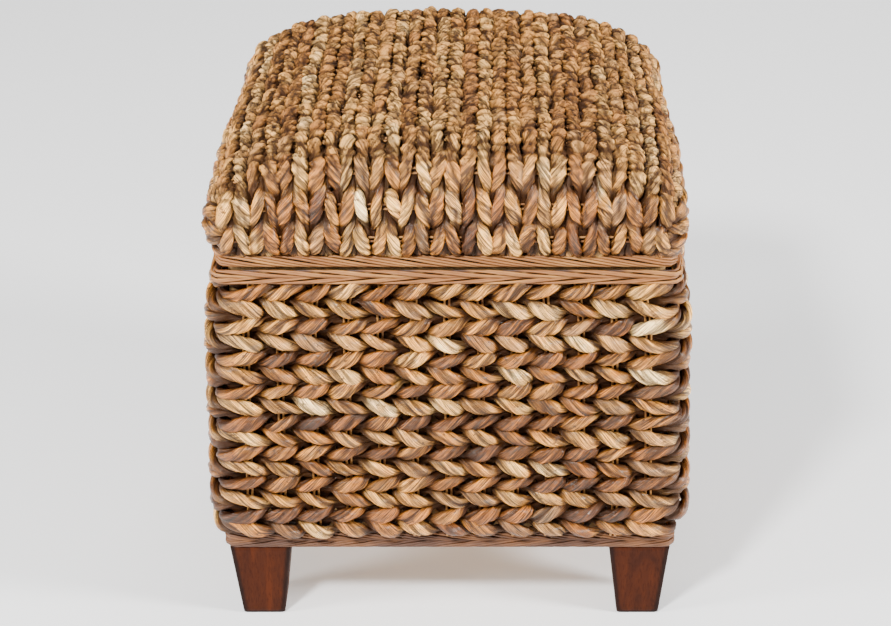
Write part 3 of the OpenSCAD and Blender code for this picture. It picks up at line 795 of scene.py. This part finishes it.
def make_braid(name, node, body, courses, tone, seed):
    """A braid in the place of its CAD node.

    Each course is its middle and its height, as shares of the node's height, its lay, and its rods a strand.
    """
    low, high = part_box(node)
    rng = np.random.default_rng(seed)
    tubes = Tubes()
    for centre, tall, lay, rods in courses:
        z = low.z + centre * (high.z - low.z)
        braid_course(tubes, high.x - BRAID_DEPTH, high.y - BRAID_DEPTH, z, tall * (high.z - low.z), lay,
                     rods, rng, tone)
    piece = tubes.build(name, RATTAN)
    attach(piece, body)
    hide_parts(node)


# ---------------------------------------------------------------- lid: ropes over the dome

def fall(past, width):
    """How much of the dome's rise is left at a distance past the start of a shoulder."""
    return np.sqrt(np.clip(1 - (np.maximum(past, 0) / width) ** 2, 0, 1))


def dome_height(x, y, inset):
    over_x = np.clip(1 - (x / LID_HALF_X) ** 2, 0, 1)
    over_y = np.clip(1 - (y / LID_HALF_Y) ** 2, 0, 1)
    fall_x = fall(np.abs(x) - (LID_HALF_X - SHOULDER_X), SHOULDER_X - inset)
    fall_y = fall(np.abs(y) - (LID_HALF_Y - SHOULDER_Y), SHOULDER_Y - inset)
    return BULGE_Z + ((DOME_RISE - inset) * fall_x + ARCH * over_x) * fall_y + CROWN * over_x * over_y


def draw_in(z):
    """How far the wall of the lid has drawn in at a height below its bulge."""
    return DRAW_IN * np.clip((BULGE_Z - z) / (BULGE_Z - LID_RIM_TOP), 0, 1) ** 4


def narrowed(points):
    """The lid's sides close in a little towards its back."""
    share = np.abs(points[:, 0:1] / LID_HALF_X) ** 2
    factor = 1 - LID_TAPER * share * smooth(points[:, 1:2], LID_TAPER_FROM, LID_TAPER_TO)
    return points * np.hstack([factor, np.ones_like(factor), np.ones_like(factor)])


def resample(points, count):
    at = np.concatenate([[0], np.cumsum(np.linalg.norm(np.diff(points, axis=0), axis=1))])
    s = np.linspace(0, at[-1], count)
    return np.stack([np.interp(s, at, points[:, i]) for i in range(3)], axis=1)


def lid_section(x, inset, count=420):
    """The lid's line from its front edge over the top to its back edge, at one x."""
    wall_points = 60
    top_points = 300
    past = max(0.0, abs(x) - (LID_HALF_X - DOME_CORNER_R))
    back_off = DOME_CORNER_R - math.sqrt(max(0.0, DOME_CORNER_R ** 2 - past ** 2))
    half = LID_HALF_Y - inset - back_off
    edge_z = float(dome_height(x, half, inset))
    z = np.linspace(LID_RIM_TOP - LID_ROPE_TUCK, edge_z, wall_points)
    wall = np.stack([np.full(wall_points, x), -(half - draw_in(z)), z], axis=1)
    y = -half * np.cos(np.linspace(0, math.pi, top_points))
    top = np.stack([np.full(top_points, x), y, dome_height(x, y, inset)], axis=1)
    back = wall[::-1] * np.array([1, -1, 1])
    return narrowed(resample(np.vstack([wall[:-1], top, back[1:]]), count))


def surface_path(line, neighbour_low, neighbour_high):
    """A path along line, with normals from the lines on either side of it."""
    along = np.gradient(line, axis=0)
    normals = unit(np.cross(neighbour_high - neighbour_low, along))
    return Path(line, normals)


def lid_rope_path(x, inset):
    step = 1.0 * MM
    return surface_path(lid_section(x, inset), lid_section(x - step, inset), lid_section(x + step, inset))


def lid_stake_places(length):
    gap = (length - 2 * LID_FIRST_STAKE) / (LID_STAKES - 1)
    return LID_FIRST_STAKE + gap * np.arange(LID_STAKES)


def make_lid_ropes():
    rope = Rope(width=6.4 * MM, thick=4.8 * MM, swing_out=4.5 * MM, swing_side=4.6 * MM, pinch=0.42)
    for i in range(LID_ROPE_COUNT):
        rng = np.random.default_rng(500 + i)
        x = (i - (LID_ROPE_COUNT - 1) / 2) * LID_ROPE_PITCH
        path = lid_rope_path(x, LID_DEPTH)
        tubes = Tubes()
        tone = rng.choice(LID_TONES, p=LID_TONE_SHARES)
        twist_rope(tubes, path, lid_stake_places(path.length), rope, 1 if i % 2 else -1, rng, tone,
                   detail=LID_PER_STAKE)
        piece = tubes.build(f"lid_rope_{i + 1:02d}", LEAF)
        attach(piece, "lid")
        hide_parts("lid_weave")


def side_level(z, inset, count=360):
    """The line round the right side of the lid at one height, from the front corner to the back."""
    end_x = LID_HALF_X - DOME_CORNER_R - 1 * MM
    if z <= BULGE_Z:
        half_x, half_y = LID_HALF_X - inset - draw_in(z), LID_HALF_Y - inset - draw_in(z)
        radius = DOME_CORNER_R - inset
        angle = np.radians(np.linspace(-90, 0, 40))
        x = half_x - radius + radius * np.cos(angle)
        y = -(half_y - radius) + radius * np.sin(angle)
        x, y = np.append(end_x, x), np.append(y[0], y)
    else:
        share = (z - BULGE_Z) / (DOME_RISE - inset)
        limit = LID_HALF_Y - SHOULDER_Y + (SHOULDER_Y - inset) * math.sqrt(1 - share ** 2)
        y = -limit * np.sin(np.radians(np.linspace(90, 0, 200)))
        past = np.abs(y) - (LID_HALF_Y - SHOULDER_Y)
        left = np.clip(share / np.maximum(fall(past, SHOULDER_Y - inset), 1e-6), 0, 1)
        x = LID_HALF_X - SHOULDER_X + (SHOULDER_X - inset) * np.sqrt(1 - left ** 2)
        keep = x > end_x
        x, y = x[keep], y[keep]
    x, y = np.concatenate([x, x[::-1]]), np.concatenate([y, -y[::-1]])
    return narrowed(resample(np.stack([x, y, np.full(len(x), z)], axis=1), count))


def side_heights():
    """Heights of the side ropes: evenly spaced from the rim to the edge of the top ropes."""
    x = np.linspace(LID_ROPE_COUNT / 2 * LID_ROPE_PITCH, LID_HALF_X - LID_DEPTH, 200)
    top = np.stack([x, 0 * x, dome_height(x, 0 * x, LID_DEPTH)], axis=1)
    z = np.linspace(BULGE_Z, LID_RIM_TOP, 40)[1:]
    wall = np.stack([LID_HALF_X - LID_DEPTH - draw_in(z), 0 * z, z], axis=1)
    line = resample(np.vstack([top, wall]), 2 * LID_SIDE_ROPES + 1)
    return line[1::2, 2]


def make_lid_sides():
    rope = Rope(width=7.0 * MM, thick=5.0 * MM, swing_out=4.4 * MM, swing_side=3.4 * MM)
    step = 0.5 * MM
    for name, side in (("right", 1), ("left", -1)):
        for level, z in enumerate(side_heights()):
            rng = np.random.default_rng(700 + 20 * level + side)
            lines = [side_level(h, LID_DEPTH) * np.array([side, 1, 1]) for h in (z, z - step, z + step)]
            path = surface_path(*lines)
            middle = len(path.normals) // 2
            if side * path.normals[middle, 0] < 0:
                path.normals = -path.normals
            count = round((path.length - LID_SIDE_MARGIN) / LID_SIDE_GAP)
            places = path.length / 2 + (np.arange(count) - (count - 1) / 2) * LID_SIDE_GAP
            tubes = Tubes()
            twist_rope(tubes, path, places, rope, 1 if level % 2 else -1, rng, rng.uniform(0.35, 0.6))
            piece = tubes.build(f"lid_side_rope_{name}_{level + 1}", LEAF)
            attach(piece, "lid")


def make_lid_stakes():
    """The pairs of thin rods that cross the lid from side to side under its ropes."""
    rng = np.random.default_rng(900)
    half = LID_ROPE_COUNT / 2 * LID_ROPE_PITCH
    xs = np.linspace(-half, half, 60)
    paths = [lid_rope_path(x, LID_DEPTH) for x in xs]
    tubes = Tubes()
    for k in range(LID_STAKES):
        for pair in (-0.5, 0.5):
            points, normals = [], []
            for path in paths:
                place = lid_stake_places(path.length)[k] + pair * STAKE_PAIR
                point, normal = path.read(np.array([place]))
                points.append(point[0])
                normals.append(normal[0])
            stake_rod(tubes, np.array(points), np.array(normals), rng.uniform(0.5, 0.9), rng)
    piece = tubes.build("lid_stake_rods", RATTAN)
    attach(piece, "lid")


# ---------------------------------------------------------------- legs and plain CAD nodes

def make_leg(node):
    """A square leg that narrows to the floor, with eased edges and a foot that are painted darker as shade.
    """
    low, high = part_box(node)
    centre = (low + high) / 2
    top_half = (high.x - low.x) / 2
    foot_half = top_half * LEG_TAPER
    ease, chamfer, border = 2.6 * MM, 1.2 * MM, 5.0 * MM
    levels = [(0.0, foot_half - chamfer), (chamfer, foot_half)]
    for t in np.linspace(0.06, 0.94, 12):
        levels.append((high.z * t, foot_half + (top_half - foot_half) * t))
    levels += [(high.z - 0.6 * chamfer, top_half), (high.z, top_half - 0.4 * chamfer)]
    points, dark, faces = [], [], []
    for z, half in levels:
        inner = half - ease
        for corner in range(4):
            turn = math.radians(90 * corner)
            outline = [(half, inner - border, 0)]
            for angle in np.radians(np.linspace(0, 90, 6)):
                outline.append((inner + ease * math.cos(angle), inner + ease * math.sin(angle), 1))
            outline.append((inner - border, half, 0))
            for x, y, edge in outline:
                points.append((centre.x + x * math.cos(turn) - y * math.sin(turn),
                               centre.y + x * math.sin(turn) + y * math.cos(turn), z))
                # Eased edges and the foot are marked for painted shade.
                dark.append(max(edge, 1.0 if z < 2 * chamfer else 0.0))
    around = len(points) // len(levels)
    for level in range(len(levels) - 1):
        for i in range(around):
            a, b = level * around + i, level * around + (i + 1) % around
            faces.append((a, b, b + around, a + around))
    faces.append(tuple(range(around))[::-1])
    faces.append(tuple(range((len(levels) - 1) * around, len(levels) * around)))
    mesh = bpy.data.meshes.new(node + "_wood")
    mesh.from_pydata(points, [], faces)
    mesh.polygons.foreach_set("use_smooth", [len(p.vertices) == 4 for p in mesh.polygons])
    edge_shade = mesh.color_attributes.new("edge", "FLOAT_COLOR", "POINT")
    edge_shade.data.foreach_set("color", np.repeat(np.array(dark, np.float32), 4))
    mesh.materials.append(LEG_WOOD)
    piece = bpy.data.objects.new(node + "_wood", mesh)
    bpy.context.scene.collection.objects.link(piece)
    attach(piece, "body")
    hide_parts(node)


def dress(name, material):
    """Gives a CAD node that stays on show its material."""
    node = frame["nodes"][name]
    node.data.materials.clear()
    node.data.materials.append(material)


def dress_frame():
    """Gives the CAD nodes that stay on show their wood, plywood or steel."""
    for row in frame["record"]["subparts"]:
        name, slot = row["node"], row["material_slot"]
        if slot == "frame_wood":
            dress(name, POST_WOOD if "post" in name else RAIL_WOOD)
        elif slot == "plywood":
            dress(name, PLYWOOD)
        elif slot == "steel":
            dress(name, STEEL)


# ---------------------------------------------------------------- stage, lights and camera

def make_stage():
    mesh = bpy.data.meshes.new("floor")
    corners = [(-FLOOR_HALF, -FLOOR_HALF, 0), (FLOOR_HALF, -FLOOR_HALF, 0),
               (FLOOR_HALF, FLOOR_HALF, 0), (-FLOOR_HALF, FLOOR_HALF, 0)]
    mesh.from_pydata(corners, [], [(0, 1, 2, 3)])
    nodes = Nodes("floor")
    nodes.shader.inputs["Base Color"].default_value = (0.86, 0.86, 0.86, 1)
    nodes.shader.inputs["Roughness"].default_value = 0.8
    nodes.shader.inputs["Emission Color"].default_value = (1, 1, 1, 1)
    nodes.shader.inputs["Emission Strength"].default_value = 0.25
    mesh.materials.append(nodes.material)
    floor = bpy.data.objects.new("floor", mesh)
    bpy.context.scene.collection.objects.link(floor)
    world = bpy.data.worlds.new("studio")
    world.use_nodes = True
    world.node_tree.nodes["Background"].inputs["Color"].default_value = (1, 1, 1, 1)
    world.node_tree.nodes["Background"].inputs["Strength"].default_value = 0.3
    bpy.context.scene.world = world


def area_light(name, place, target, size, power):
    data = bpy.data.lights.new(name, "AREA")
    data.shape = "DISK"
    data.size, data.energy = size, power
    lamp = bpy.data.objects.new(name, data)
    lamp.location = place
    lamp.rotation_euler = (Vector(target) - Vector(place)).to_track_quat("-Z", "Y").to_euler()
    bpy.context.scene.collection.objects.link(lamp)


def make_lights():
    middle = (0, 0, 0.3)
    area_light("key", (-0.9, -2.0, 2.5), middle, 0.42, 155)
    area_light("fill_right", (3.0, -1.1, 1.6), middle, 0.8, 230)
    area_light("fill_left", (-3.0, -1.1, 1.3), middle, 0.8, 120)
    area_light("rim", (0.4, 2.4, 2.4), middle, 1.6, 40)


def make_camera():
    """A long lens from above the front, level across the picture."""
    pitch = math.radians(28.0)
    distance = 2.47
    aim = Vector((0.060, -BODY_HALF_Y, 0.351))
    data = bpy.data.cameras.new("camera")
    data.sensor_width = 36.0
    data.lens = 106.8
    data.shift_x = -0.0732
    camera = bpy.data.objects.new("camera", data)
    camera.location = aim + Vector((0, -math.cos(pitch), math.sin(pitch))) * distance
    camera.rotation_euler = (math.pi / 2 - pitch, 0, 0)
    bpy.context.scene.collection.objects.link(camera)
    bpy.context.scene.camera = camera


make_camera()
make_stage()
make_lights()
make_body_rows()
make_stakes()
make_braid("rim_braid_rods", "body_rim_braid", "body", [(0.75, 0.56, -1, 2), (0.25, 0.56, 1, 2)], 0.48, 41)
# The foot braid's low tone is painted shade: it sits darker than the other braids.
make_braid("foot_braid_rods", "body_foot_braid", "body", [(0.64, 0.56, -1, 3), (0.24, 0.5, 1, 3)], 0.05, 42)
make_braid("lid_rim_braid_rods", "lid_rim_braid", "lid", [(0.52, 0.95, -1, 3)], 0.62, 43)
make_lid_ropes()
make_lid_sides()
make_lid_stakes()
for leg in ("leg_front_left", "leg_front_right", "leg_back_left", "leg_back_right"):
    make_leg(leg)
dress_frame()

bpy.context.view_layer.update()
